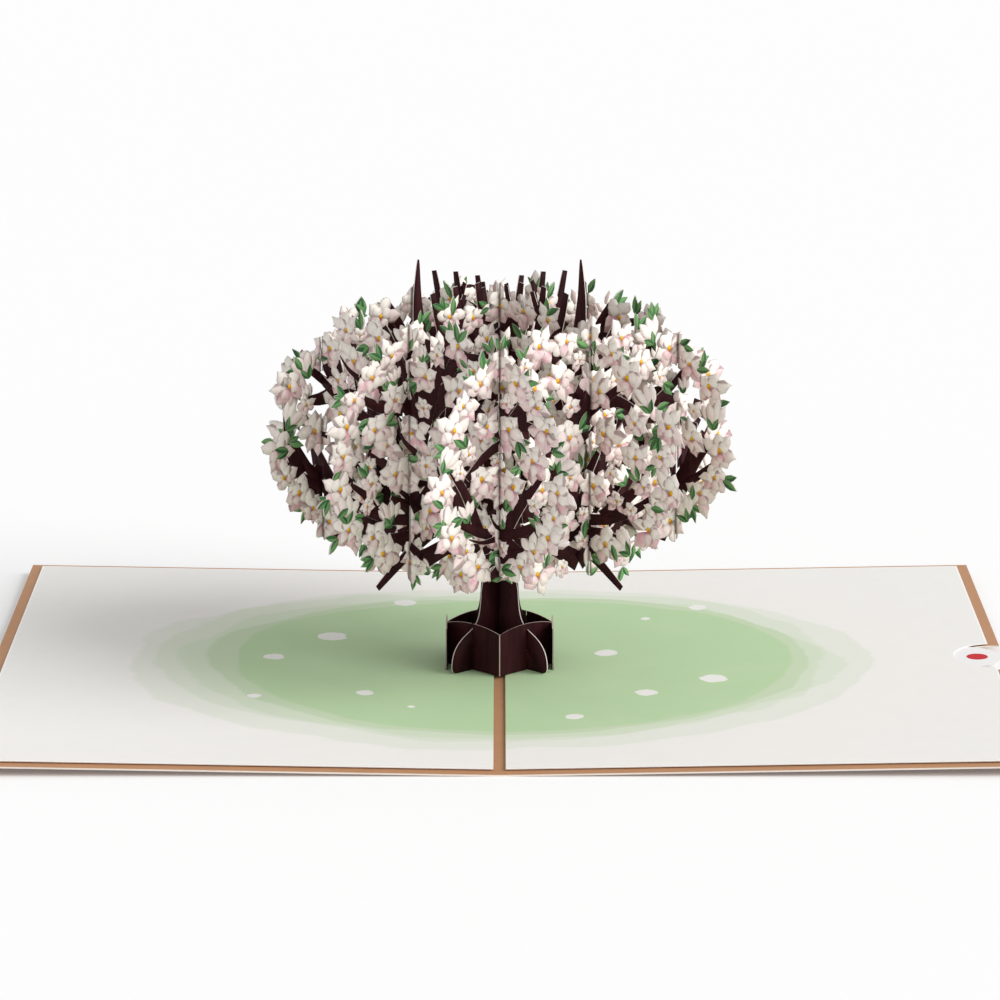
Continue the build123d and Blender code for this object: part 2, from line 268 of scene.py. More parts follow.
def makePaintedCrossingShade():
    # painted shade beside the upright lines where two tree sheets cross, for the shadow in their inside
    # corners:
    # each family's sheets lie at whole steps along its normal, so the larger of the two distances to a
    # step is small there
    tree, given, made = makeGroup("crossingShade", Reach=1.0)
    place = objectPlace(tree)
    away = 0.0
    for family in (1, -1):
        normal = (family * math.sin(lattice["angle"]), -math.cos(lattice["angle"]), 0)
        along = vectors(tree, "DOT_PRODUCT", place, normal)
        away = sums(tree, "MAXIMUM", away, sums(tree, "PINGPONG", along, lattice["offset"] / 2))
    share = sums(tree, "DIVIDE", away, given["Reach"])
    join(tree, made, {"Mask": ramp(tree, share, 1.0, 0.25)})
    return tree


paperGrain = makeGrain()
cutEdgeMask = makeCut()
crossingShade = makePaintedCrossingShade()


def cutMask(tree, upright=0.0):
    return useGroup(tree, cutEdgeMask, Upright=upright)["Mask"]


def makePaper(name, paint, rough, mottle, fibre, bump=0.2, gloss=0.25):
    # paint is a colour, or a function that builds one from nodes; fibre is the grain's scale
    material = bpy.data.materials.new(name)
    material.use_nodes = True
    tree = material.node_tree
    colour = paint(tree) if callable(paint) else paint
    grain = useGroup(tree, paperGrain, Colour=colour, Mottle=mottle, Fibre=fibre)
    height = {"Height": grain["Height"], "Strength": bump, "Distance": 0.02 * mm}
    join(tree, tree.nodes["Principled BSDF"], {
        "Base Color": grain["Colour"],
        "Normal": addNode(tree, "Bump", height).outputs[0],
        "Roughness": rough,
        "Specular IOR Level": gloss,
    })
    return material


# Copper cover

cover = {
    "copper": tone(189, 142, 106),
    "core": tone(244, 232, 220),
    "metal": 0.06,
    "finish": {"rough": 0.55, "mottle": 0.10, "fibre": 3.0, "bump": 0.35, "gloss": 0.08},
}


def coverColour(tree):
    # pale and without metal where it is cut
    edge = cutMask(tree)
    metal = sums(tree, "MULTIPLY_ADD", edge, -cover["metal"], cover["metal"])
    join(tree, tree.nodes["Principled BSDF"], {"Metallic": metal})
    return blend(tree, edge, cover["copper"], cover["core"])


# Printed liners: a green wash of several layers with brushed ends, and pale pebbles

meadow = {
    "paper": tone(243, 241, 237),
    "layers": (  # middle, half width and half depth in mm, colour, strength, ragged edge
        ((-0.5, -1.5), (93.5, 70.0), tone(226, 232, 217), 0.60, 0.07),
        ((-1.0, 1.0), (86.5, 66.0), tone(217, 228, 206), 0.60, 0.09),
        ((0.5, -1.0), (80.5, 61.8), tone(206, 222, 192), 0.52, 0.08),
        ((2.0, 0.5), (75.0, 60.2), tone(197, 217, 181), 0.80, 0.07),
        ((3.5, 0.5), (70.0, 58.2), tone(187, 215, 170), 0.97, 0.05),
    ),
    "soft": 0.008,
    "bloom": tone(214, 226, 200),
    "bloomStrength": 0.12,
    "pebble": tone(241, 241, 236),
    "border": tone(255, 254, 251),
    "borderWidth": 0.55,
    "finish": {"rough": 0.75, "mottle": 0.025, "fibre": 2.2, "bump": 0.25},
}
pebbles = (  # across, back and half width, in mm
    (-43, 22, 3.7), (-57, 3, 2.6), (-60, -31, 1.7), (-33, -27, 2.1),
    (-21.5, -38, 1), (-25, 55, 2.9), (27, 8, 3), (38, 39, 1.3),
    (36, -27, 2.6), (53, -16, 3.4), (18, -46, 2.2), (52, 49, 2.4),
)


def makeWash():
    # one brushed layer: an ellipse whose radius wanders slowly, with short streaks at its ends
    tree, given, made = makeGroup("brushedWash", Place=origin, Middle=origin, HalfWidth=80.0,
                                  HalfDepth=60.0, Ragged=0.1, Shift=0.0)
    parts = axes(tree, vectors(tree, "SUBTRACT", given["Place"], given["Middle"]))
    across = sums(tree, "DIVIDE", parts["X"], given["HalfWidth"])
    along = sums(tree, "DIVIDE", parts["Y"], given["HalfDepth"])
    across = sums(tree, "MULTIPLY", across, across)
    reach = sums(tree, "SQRT", sums(tree, "ADD", across, sums(tree, "MULTIPLY", along, along)))
    shift = addNode(tree, "CombineXYZ", {"Z": sums(tree, "MULTIPLY", given["Shift"], 37.0)})
    moved = vectors(tree, "ADD", given["Place"], shift.outputs[0])
    streaks = addNode(tree, "Mapping", {"Vector": moved, "Scale": (0.05, 0.30, 1.0)})
    wide = sums(tree, "SUBTRACT", noise(tree, moved, 0.028, 2.0), 0.5)
    fine = sums(tree, "SUBTRACT", noise(tree, streaks.outputs[0], 1.0, 4.0, 0.62), 0.5)
    ends = ramp(tree, across, 0.15, 0.80, 0.15, 0.55)
    wander = sums(tree, "MULTIPLY_ADD", fine, ends, sums(tree, "MULTIPLY", wide, 2.4))
    reach = sums(tree, "MULTIPLY_ADD", wander, given["Ragged"], reach)
    join(tree, made, {"Mask": ramp(tree, reach, 1.0 + meadow["soft"], 1.0 - meadow["soft"])})
    return tree


def makePebble():
    # a flat stone: across to the power 1.5 plus back to the power 2.2, moved a little by noise,
    # is 1 at its rim
    tree, given, made = makeGroup("pebble", Place=origin, Across=0.0, Back=0.0, Size=3.0)
    parts = axes(tree, given["Place"])
    powers = []
    for part, middle, power in ((parts["X"], given["Across"], 1.5), (parts["Y"], given["Back"], 2.2)):
        share = sums(tree, "DIVIDE", sums(tree, "SUBTRACT", part, middle), given["Size"])
        powers.append(sums(tree, "POWER", sums(tree, "ABSOLUTE", share), power))
    wander = sums(tree, "SUBTRACT", noise(tree, given["Place"], 0.35, 1.0), 0.5)
    reach = sums(tree, "MULTIPLY_ADD", wander, 0.9, sums(tree, "ADD", *powers))
    join(tree, made, {"Mask": ramp(tree, reach, 1.03, 0.97)})
    return tree


def linerColour(tree):
    place = objectPlace(tree)
    wash, stone = makeWash(), makePebble()
    colour = meadow["paper"]
    for number, (middle, (width, depth), shade, strength, ragged) in enumerate(meadow["layers"]):
        mask = useGroup(tree, wash, Place=place, Middle=(*middle, 0), HalfWidth=width,
                        HalfDepth=depth, Ragged=ragged, Shift=float(number))["Mask"]
        colour = blend(tree, sums(tree, "MULTIPLY", mask, strength), colour, shade)
    # paler clouds in the innermost layer
    cloud = ramp(tree, noise(tree, place, 0.05, 3.0), 0.45, 0.75, 0.0, meadow["bloomStrength"])
    lift = sums(tree, "MULTIPLY", cloud, mask)
    colour = blend(tree, lift, colour, meadow["bloom"])
    stones = 0.0
    for across, back, size in pebbles:
        one = useGroup(tree, stone, Place=place, Across=across, Back=back, Size=size)["Mask"]
        stones = sums(tree, "MAXIMUM", stones, one)
    colour = blend(tree, stones, colour, meadow["pebble"])
    # the sheet's bright cut edge, and a thin white rim beside it, but not at the spine
    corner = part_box("liner_right")[1]
    spot = axes(tree, place)
    aside = sums(tree, "SUBTRACT", corner.x / mm, sums(tree, "ABSOLUTE", spot["X"]))
    back = sums(tree, "SUBTRACT", corner.y / mm, sums(tree, "ABSOLUTE", spot["Y"]))
    inset = sums(tree, "MINIMUM", aside, back)
    rim = ramp(tree, inset, meadow["borderWidth"], meadow["borderWidth"] / 2)
    edge = sums(tree, "MAXIMUM", cutMask(tree), rim)
    return blend(tree, edge, colour, meadow["border"])


# Slide-out note, its pull tab marked with a plain red dot

note = {
    "paper": tone(243, 242, 241),
    "core": tone(222, 218, 212),
    "dot": tone(196, 14, 30),
    "dotInset": 6.1,  # from the tab's end
    "dotRadius": 2.7,
    "dotSoft": 0.05,
    "finish": {"rough": 0.6, "mottle": 0.02, "fibre": 2.0},
}
tape = {
    "paper": tone(228, 224, 214),
    "finish": {"rough": 0.8, "mottle": 0.05, "fibre": 1.2, "bump": 0.3},
}


def noteColour(tree):
    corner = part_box("note_card")[1]
    middle = (corner.x / mm - note["dotInset"], 0, 0)
    aside = vectors(tree, "SUBTRACT", objectPlace(tree), middle)
    reach = vectors(tree, "LENGTH", vectors(tree, "MULTIPLY", aside, (1, 1, 0)))
    dot = ramp(tree, reach, note["dotRadius"] + note["dotSoft"], note["dotRadius"] - note["dotSoft"])
    colour = blend(tree, dot, note["paper"], note["dot"])
    return blend(tree, cutMask(tree), colour, note["core"])


# Dark card of the roots, trunk and branches, and the pale core of its cuts

bark = {
    "print": tone(55, 18, 23),
    "deep": tone(40, 11, 14),
    "core": tone(206, 186, 178),
    "foldHalf": 0.16,  # half width in mm of the cracked print along the collar's fold
    "foldStrength": 0.8,
    "finish": {"rough": 0.62, "mottle": 0.10, "fibre": 2.0, "bump": 0.3, "gloss": 0.12},
    "cut": tone(222, 212, 204),
    "cutFinish": {"rough": 0.85, "mottle": 0.08, "fibre": 4.0},
}


def barkColour(tree):
    # upright streaks a few millimetres long between two dark tones
    stretched = {"Vector": objectPlace(tree), "Scale": (0.5, 0.5, 0.07)}
    streaks = addNode(tree, "Mapping", stretched).outputs[0]
    share = ramp(tree, noise(tree, streaks, 1.0, 3.0), 0.35, 0.7)
    return blend(tree, share, bark["deep"], bark["print"])


def collarColour(tree):
    # pale where it is cut, at the ends of its flaps and where the print has cracked along
    # its fold
    facing = addNode(tree, "TexCoord").outputs["Normal"]
    ends = ramp(tree, sums(tree, "ABSOLUTE", axes(tree, facing)["Y"]), 0.9, 0.97)
    edge = sums(tree, "MAXIMUM", cutMask(tree, 1.0), ends)
    aside = sums(tree, "ABSOLUTE", axes(tree, objectPlace(tree))["X"])
    fold = ramp(tree, aside, bark["foldHalf"], 0.10, 0.0, bark["foldStrength"])
    return blend(tree, sums(tree, "MAXIMUM", edge, fold), barkColour(tree), bark["core"])


# Printed petals, leaves and blossom hearts. The UV map runs from a shape's root to its
# tip (U) and across it (V); tint and rim are attributes of the points.

ink = {
    "cream": tone(255, 249, 239),
    "pink": tone(224, 146, 168),
    "shade": tone(158, 120, 120),
    "line": tone(136, 100, 104),
    "leafLight": tone(112, 160, 98),
    "leafDark": tone(40, 86, 48),
    "rib": tone(150, 192, 130),
    "yellow": tone(246, 192, 44),
    "orange": tone(204, 118, 16),
    # painted shade for the dark inside corners where the tree sheets cross: its tone, reach in mm and
    # strength
    "paintedShadeTone": tone(96, 74, 72),
    "paintedShadeReach": 0.9,
    "paintedShadeStrength": 0.65,
    "flushStrength": (0.50, 0.95),  # at the tip and at the root
    "baseStrength": 0.76,
    "sideStrength": 0.66,
    "lineStrength": 0.55,
    "ribStrength": 0.45,
    "petalFinish": {"rough": 0.7, "mottle": 0.03, "fibre": 2.4},
    "leafFinish": {"rough": 0.65, "mottle": 0.06, "fibre": 2.4},
    "heartFinish": {"rough": 0.7, "mottle": 0.05, "fibre": 3.0},
}


def readAttribute(tree, name):
    return addNode(tree, "Attribute", attribute_name=name).outputs["Fac"]


def shapeAxes(tree):
    return axes(tree, addNode(tree, "UVMap", uv_map="shapeMap").outputs[0])


def paintCrossingShade(tree, colour):
    # painted shade darkens the colour beside the lines where the tree sheets cross
    mask = useGroup(tree, crossingShade, Reach=ink["paintedShadeReach"])["Mask"]
    shade = sums(tree, "MULTIPLY", mask, ink["paintedShadeStrength"])
    return blend(tree, shade, colour, ink["paintedShadeTone"])


def petalColour(tree):
    # cream flushed with pink from the root, shaded at the root and where the next petal
    # overlaps it, with a thin line along the rim, and painted shade beside the sheets' crossings
    spot = shapeAxes(tree)
    flush = ramp(tree, spot["X"], 1.0, 0.1, *ink["flushStrength"])
    cloud = ramp(tree, noise(tree, objectPlace(tree), 0.55, 2.0), 0.25, 0.70, 0.35, 1.15)
    flush = sums(tree, "MULTIPLY", flush, cloud)
    flush = sums(tree, "MULTIPLY", flush, readAttribute(tree, "tint"), clamp=True)
    colour = blend(tree, flush, ink["cream"], ink["pink"])
    base = ramp(tree, spot["X"], 0.32, 0.12, 0.0, ink["baseStrength"])
    side = ramp(tree, spot["Y"], 0.50, 0.78, 0.0, ink["sideStrength"])
    colour = blend(tree, sums(tree, "MAXIMUM", base, side), colour, ink["shade"])
    line = ramp(tree, readAttribute(tree, "rim"), 0.95, 1.0, 0.0, ink["lineStrength"])
    return paintCrossingShade(tree, blend(tree, line, colour, ink["line"]))


def leafColour(tree):
    # one half lighter than the other, with a pale rib between them, and painted shade beside the sheets'
    # crossings
    across = shapeAxes(tree)["Y"]
    tint = sums(tree, "MULTIPLY", readAttribute(tree, "tint"), 0.35)
    half = sums(tree, "MULTIPLY_ADD", ramp(tree, across, -0.05, 0.05), 0.65, tint, clamp=True)
    colour = blend(tree, half, ink["leafDark"], ink["leafLight"])
    rib = ramp(tree, sums(tree, "ABSOLUTE", across), 0.10, 0.02, 0.0, ink["ribStrength"])
    return paintCrossingShade(tree, blend(tree, rib, colour, ink["rib"]))


def heartColour(tree):
    # orange at the root, yellow at the tip
    share = ramp(tree, shapeAxes(tree)["X"], 0.75, 0.25)
    return blend(tree, share, ink["yellow"], ink["orange"])


# Every CAD piece that stays in sight gets its paper, by the first word of its name

papers = {
    "cover": makePaper("copperCard", coverColour, **cover["finish"]),
    "liner": makePaper("linerPaper", linerColour, **meadow["finish"]),
    "tape": makePaper("whiteTape", tape["paper"], **tape["finish"]),
    "note": makePaper("notePaper", noteColour, **note["finish"]),
    "collar": makePaper("barkCard", collarColour, **bark["finish"]),
}
for node in nodes:
    paper = papers.get(node.split("_")[0])
    if paper:
        nodes[node].data.materials.clear()
        nodes[node].data.materials.append(paper)
treeMaterials = [
    makePaper("barkPrint", barkColour, **bark["finish"]),
    makePaper("cutCore", bark["cut"], **bark["cutFinish"]),
    makePaper("leafPrint", leafColour, **ink["leafFinish"]),
    makePaper("petalPrint", petalColour, **ink["petalFinish"]),
    makePaper("heartPrint", heartColour, **ink["heartFinish"]),
]
barkFace, coreFace, leafFace, petalFace, heartFace = range(5)
print("materials: card, liners, note, collar and tree prints are made")


# Tree sheets, in mm in the plane of each: x along the sheet, y up from its foot. An extent is
# a sheet's half width, and its rise and drop from the waist.

canopy = {
    "halfWidth": lattice["halfWidth"],
    "waist": 56.7,
    "roundness": 2.35,
    "rise": (41.0, 38.0),  # centre sheets and outer sheets
    "drop": (32.0, 31.0),
    "lap": 62.0,  # where the slots of the two families meet
    "slotHalf": 0.26,
    "leastPlate": 0.25,  # smaller pieces beside a slot are left out
    "leastLimb": 0.30,
}
outerHalfWidth = math.sqrt(canopy["halfWidth"] ** 2 - lattice["offset"] ** 2)
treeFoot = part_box("tree_sheet_a_centre")[0].z / mm

gap = {"radius": 5.2, "smallRadius": 3.6, "pitch": 18.0, "rings": (0.74, 0.44), "clear": 0.72}
blossom = {
    "radius": 4.6,
    "smallRadius": 3.8,
    "pitch": 9.6,
    "scatter": 0.2,
    "darts": 5200,
    "shrinking": 3600,  # darts until the smallest radius
    "inner": (2.2, 4.8),  # radii away from the outline
    "inside": 0.95,  # share of the outline that they stay within
    "spacing": 0.98,
    "crown": (0.50, 0.90),  # above this share of the rise, spacing is this much of itself
    "cluster": 0.09,  # waves per mm of the pattern that bunches them
    "bare": -0.60,  # where the pattern is lower there are none
    "half": 0.15,  # half the thickness at the lowest level
    "levelStep": 0.010,
    "petalStep": 0.0014,
    "whorls": (  # petals, reach, width, flush
        ((5, 6, 7), 1.07, 0.41, 1.15),
        ((3, 4), 0.68, 0.40, 0.5),
    ),
    "tilt": (0.0, 0.30),
    "heart": (0.23, 0.30),  # share of the radius
}
leaf = {
    "length": 9.6,
    "pitch": 24.0,
    "root": 0.88,
    "spreads": (-0.42, 0.30),
    "chance": 0.36,  # of leaves beside a blossom
    "pair": (-0.42, 0.42),
    "three": (-0.6, 0.0, 0.6),
    "small": (3.2, 5.0),
    "overChance": 0.3,  # of lying over the blossoms
    "overHalf": 0.251,
    "half": 0.128,
    "levelStep": 0.0016,
}


def canopySpot(bearing, share, extent):
    # superellipse: cosine and sine of the bearing, each raised to 2 over the roundness
    half, rise, drop = extent
    power = 2 / canopy["roundness"]
    waves = (math.cos(bearing), math.sin(bearing))
    across, up = (math.copysign(abs(wave) ** power, wave) for wave in waves)
    height = (rise if up > 0 else drop) - blossom["radius"]
    return share * across * (half - blossom["radius"]), canopy["waist"] + share * up * height


def crossings(shift):
    return [shift + step * lattice["crossing"] for step in (-1, 0, 1)]


def crossingBearings(shift, half):
    # where the upright lines of the slots meet the superellipse, anticlockwise
    above = []
    for line in reversed(crossings(shift)):
        share = abs(line) / (half - blossom["radius"])
        above.append(math.acos(math.copysign(share ** (canopy["roundness"] / 2), line)))
    return above + [turn - bearing for bearing in reversed(above)]


def ringPlaces(share, pitch, extent, stops=(0,), lag=0):
    # bearings about a pitch apart, evenly shared between the stops
    half, rise, drop = extent
    girth = math.pi * (half + (rise + drop) / 2)
    bearings = []
    for start, end in zip(stops, [*stops[1:], stops[0] + turn]):
        count = max(round(share * girth / pitch * (end - start) / turn), 1)
        bearings += [start + (end - start) * (number + lag) / count for number in range(count)]
    return bearings


def layOut(extent, stops):
    # the gaps and the outline's blossoms and leaves, where the die cuts them
    chance = random.Random(3)
    gaps, rim, leaves = [], [], []
    for share in gap["rings"]:
        for number, bearing in enumerate(ringPlaces(share, gap["pitch"], extent)):
            stray = bearing + chance.uniform(-blossom["scatter"], blossom["scatter"]) / share
            chance.uniform(0, 360)  # the die's own turn, not needed here
            size = gap["smallRadius"] if number % 2 else gap["radius"]
            gaps.append((*canopySpot(stray, share, extent), size))
    for number, bearing in enumerate(ringPlaces(1, blossom["pitch"], extent, stops)):
        inward = chance.uniform(0, blossom["scatter"]) / 2
        chance.uniform(0, 360)
        size = blossom["smallRadius"] if number % 2 else blossom["radius"]
        rim.append((*canopySpot(bearing, 1 - inward, extent), size))
    for bearing in ringPlaces(1, leaf["pitch"], extent, stops, 0.5):
        leaves.append((*canopySpot(bearing, leaf["root"], extent), bearing))
    return np.array(gaps), np.array(rim), np.array(leaves)


outlineShapes = {  # power and fullness, corners, the tip's nick, lean
    "petal": (1.4, 0.85, 12, (-0.19, 0.04), 0.2),
    "cup": (1.4, 0.85, 12, (-0.08, 0.02), 0.08),
    "heart": (1.4, 0.85, 8, None, None),
    "sepal": (0.85, 1.0, 10, None, 0.1),
    "leaf": (0.85, 1.0, 10, None, 0.12),
}


def makeOutlines(kind, lengths, widths, rng):
    # Closed outlines, each a row counted anticlockwise from its root: x goes from root to tip
    # as half of one minus a cosine; y is the sine of pi times x's share raised to the power,
    # that sine raised to the fullness. A bell curve at the tip nicks it or draws it out, and
    # it leans with the square of x.
    power, fullness, corners, nick, lean = outlineShapes[kind]
    blank = np.zeros(len(lengths))
    nicks = rng.uniform(*nick, len(lengths)) if nick else blank
    leans = rng.normal(0, lean, len(lengths)) if lean else blank
    angle = np.linspace(0, turn, corners, endpoint=False)[None, :]
    along = 0.5 - 0.5 * np.cos(angle)
    across = np.sign(np.sin(angle)) * np.sin(math.pi * along**power) ** fullness
    nick = nicks[:, None] * np.exp(-(((angle - np.pi) / 0.33) ** 2))
    x = lengths[:, None] * (along - nick)
    y = -widths[:, None] * across + leans[:, None] * x * along
    return np.stack([x, y], -1)[:, ::-1]


def place(outlines, spots, bearings):
    # turns each outline by its bearing and moves its root to its spot
    cos, sin = np.cos(bearings)[:, None], np.sin(bearings)[:, None]
    x, y = outlines[..., 0], outlines[..., 1]
    return np.stack([spots[:, None, 0] + x * cos - y * sin, spots[:, None, 1] + x * sin + y * cos], -1)


def walk(path, steps):
    # places at whole or broken steps along a path
    index = np.arange(len(path))
    return np.stack([np.interp(steps, index, path[:, 0]), np.interp(steps, index, path[:, 1])], -1)


def beyondLine(path, line, side):
    # first and last step of a path beyond an upright line, if it gets there
    beyond = side * (path[:, 0] - line) - canopy["slotHalf"]
    inside = np.flatnonzero(beyond >= 0)
    if not len(inside):
        return None
    first, last = inside[0], inside[-1]
    enter = first - (beyond[first] / (beyond[first] - beyond[first - 1]) if first else 0)
    leave = last + (beyond[last] / (beyond[last] - beyond[last + 1]) if last < len(path) - 1 else 0)
    return enter, leave


def keepSide(outline, line, side):
    # the part of a closed outline beyond an upright line, evenly stepped along its kept run
    beyond = side * (outline[:, 0] - line) - canopy["slotHalf"]
    if (beyond > 0).all():
        return outline
    if beyond.max() < canopy["leastPlate"]:
        return None
    run = np.roll(outline, -int(np.argmin(beyond)), 0)
    run = np.append(run, run[:1], 0)
    kept = walk(run, np.linspace(*beyondLine(run, line, side), len(outline)))
    kept[[0, -1], 0] = line + side * canopy["slotHalf"]
    return kept


class Sheet:
    # gathers the points and faces of one sheet
    def __init__(self, family, row):
        self.family, self.row = family, row
        heading = family * lattice["angle"] + (math.pi if row < 0 else 0)
        self.along = np.array([math.cos(heading), math.sin(heading), 0])
        self.out = np.array([math.sin(heading), -math.cos(heading), 0])
        self.foot = self.out * family * abs(row) * lattice["offset"] + np.array([0, 0, treeFoot])
        self.lines = crossings(lattice["shift"] if row else 0)
        self.points, self.maps, self.tints, self.rims = [], [], [], []
        self.corners, self.faces = {3: [], 4: []}, {3: [], 4: []}
        self.size = 0

    def crossed(self, low, high):
        # the upright lines of slots that a shape stands across
        return [line for line in self.lines
                if low < line + canopy["slotHalf"] and high > line - canopy["slotHalf"]]

    def slotted(self, height):
        # one family has its slots below the lap, the other above it
        return height < canopy["lap"] if self.family > 0 else height > canopy["lap"]

    def lift(self, flat, level):
        # from the sheet's plane to the card's frame, in metres
        solid = flat[..., :1] * self.along + flat[..., 1:] * np.array([0, 0, 1])
        return (solid + level[..., None] * self.out + self.foot) * mm

    def add(self, points, maps, tints, rims, *groups):
        # each group is an array of triangles or of quads, and their material
        self.points.append(points.reshape(-1, 3))
        self.maps.append(maps.reshape(-1, 2))
        self.tints.append(tints.ravel())
        self.rims.append(rims.ravel())
        for corners, face in groups:
            sides = corners.shape[-1]
            self.corners[sides].append(corners.reshape(-1, sides) + self.size)
            self.faces[sides].append(np.full(corners.size // sides, face))
        self.size += points.size // 3

    def split(self, outlines, rows):
        # cuts the shapes that stand across a slot in two
        keep, owners = [], []
        low, high = outlines[..., 0].min(1), outlines[..., 0].max(1)
        height = outlines[..., 1].mean(1)
        for number, outline in enumerate(outlines):
            lines, parts = self.crossed(low[number], high[number]), [outline]
            if lines and self.slotted(height[number]):
                parts = [keepSide(outline, lines[0], side) for side in (-1, 1)]
            for part in parts:
                if part is not None:
                    keep.append(part)
                    owners.append(number)
        return np.array(keep), rows[owners]

    def addPlates(self, rows, outlines, face):
        # Closed thin plates: a fan on each side of the card and a band round the edge. A row
        # has a plate's spot, bearing, length, width, half thickness and tint.
        outlines, rows = self.split(place(outlines, rows[:, :2], rows[:, 2]), rows)
        bearings, lengths, widths, halves, tints = rows[:, 2:, None].transpose(1, 0, 2)
        shapes, count = outlines.shape[:2]
        flat = np.concatenate([outlines, outlines.mean(1, keepdims=True)], 1)
        both = np.concatenate([flat, flat], 1)
        level = np.repeat(np.concatenate([halves, -halves], 1), count + 1, 1)
        aside = both - rows[:, None, :2]
        cos, sin = np.cos(bearings), np.sin(bearings)
        along = (aside[..., 0] * cos + aside[..., 1] * sin) / lengths
        across = (-aside[..., 0] * sin + aside[..., 1] * cos) / widths
        rim = np.ones((shapes, 2 * count + 2))
        rim[:, [count, 2 * count + 1]] = 0
        here = np.arange(count)
        after = (here + 1) % count
        top = np.stack([here, after, np.full(count, count)], -1)
        bottom = top[:, [1, 0, 2]] + count + 1
        band = np.stack([here + count + 1, after + count + 1, after, here], -1)
        start = (np.arange(shapes) * (2 * count + 2))[:, None, None]
        self.add(self.lift(both, level), np.stack([along, across], -1),
                 np.repeat(tints, 2 * count + 2, 1), rim,
                 (np.concatenate([top, bottom])[None] + start, face), (band[None] + start, coreFace))

    def addLimb(self, left, right, half):
        # a ribbon between two edges, in two pieces where it crosses a slot
        low = min(left[:, 0].min(), right[:, 0].min())
        high = max(left[:, 0].max(), right[:, 0].max())
        for line in self.crossed(low, high):
            near = np.argmin(np.abs(left[:, 0] + right[:, 0] - 2 * line))
            if self.slotted((left[near, 1] + right[near, 1]) / 2):
                for side in (-1, 1):
                    self.addLimbSide(left, right, half, line, side)
                return
        count = len(left)
        flat = np.concatenate([left, right, left, right])
        level = np.repeat([half, -half], 2 * count)
        here = np.arange(count - 1)
        top = np.stack([count + here, count + here + 1, here + 1, here], -1)
        bottom = top[:, ::-1] + 2 * count
        outer = np.stack([here, here + 1, here + 1 + 2 * count, here + 2 * count], -1)
        inner = outer[:, ::-1] + count
        ends = np.array([(0, 2 * count, 3 * count, count),
                         (2 * count - 1, 4 * count - 1, 3 * count - 1, count - 1)])
        maps = np.tile(np.stack([np.linspace(0, 1, count), np.zeros(count)], -1), (4, 1))
        blank = np.zeros(4 * count)
        self.add(self.lift(flat, level), maps, blank, blank,
                 (np.concatenate([top, bottom]), barkFace),
                 (np.concatenate([outer, inner, ends]), coreFace))

    def addLimbSide(self, left, right, half, line, side):
        # the piece of a limb on one side of a slot, if enough of it is left
        ranges = [beyondLine(edge, line, side) for edge in (left, right)]
        known = ranges[0] or ranges[1]
        if not known:
            return
        wall = line + side * canopy["slotHalf"]
        cut = []
        for edge, run in zip((left, right), ranges):
            piece = walk(edge, np.linspace(*(run or known), len(edge)))
            piece[:, 0] = side * np.maximum(side * piece[:, 0], side * wall)
            cut.append(piece)
        if np.abs(cut[0] - cut[1]).sum(1).max() > canopy["leastLimb"]:
            self.addLimb(*cut, half)

    def addPath(self, path, widths, half):
        # edges half a width to each side of a smooth path
        ahead = np.gradient(path, axis=0)
        ahead /= np.linalg.norm(ahead, axis=1, keepdims=True)
        aside = np.stack([-ahead[:, 1], ahead[:, 0]], -1) * widths[:, None] / 2
        self.addLimb(path + aside, path - aside, half)

    def finish(self, name, node):
        # puts the gathered arrays into one mesh and lets it stand for the CAD node
        points = np.concatenate(self.points)
        threes, fours = np.concatenate(self.corners[3]), np.concatenate(self.corners[4])
        corners = np.concatenate([threes.ravel(), fours.ravel()])
        faces = np.concatenate(self.faces[3] + self.faces[4])
        mesh = bpy.data.meshes.new(name)
        mesh.from_pydata(points, [], [*threes.tolist(), *fours.tolist()], shade_flat=False)
        mesh.polygons.foreach_set("material_index", faces.astype(np.int32))
        shapeMap = mesh.uv_layers.new(name="shapeMap")
        shapeMap.data.foreach_set("uv", np.concatenate(self.maps)[corners].astype(np.float32).ravel())
        for label, values in (("tint", self.tints), ("rim", self.rims)):
            layer = mesh.attributes.new(label, "FLOAT", "POINT")
            layer.data.foreach_set("value", np.concatenate(values).astype(np.float32))
        for material in treeMaterials:
            mesh.materials.append(material)
        mesh.update()
        mesh.validate()
        piece = addObject(name, mesh)
        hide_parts(node)
        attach(piece, "card")
        return piece


def smoothPath(places, count):
    # Catmull-Rom curve through given points, its ends repeated
    knots = np.array([places[0], *places, places[-1]], float)
    steps = np.linspace(0, len(places) - 1 - 1e-9, count)
    first = steps.astype(int)
    part = (steps - first)[:, None]
    a, b, c, d = (knots[first + shift] for shift in range(4))
    return 0.5 * (2 * b + (c - a) * part + (2 * a - 5 * b + 4 * c - d) * part**2
                  + (3 * b - a - 3 * c + d) * part**3)


def toward(bearing, length):
    return length * np.array([math.cos(bearing), math.sin(bearing)])


def bend(root, bearing, curve, length):
    # root, middle and tip of a shoot that turns by the curve at its middle
    middle = root + toward(bearing, 0.5 * length)
    return [root, middle, middle + toward(bearing + curve, 0.5 * length)]


def insideShare(points, extent):
    # 1 on the superellipse through the outline blossoms' middles, less inside it
    half, rise, drop = (reach - blossom["radius"] for reach in extent)
    x = np.abs(points[:, 0]) / half
    y = points[:, 1] - canopy["waist"]
    y = np.where(y > 0, y / rise, -y / drop)
    return (x ** canopy["roundness"] + y ** canopy["roundness"]) ** (1 / canopy["roundness"])


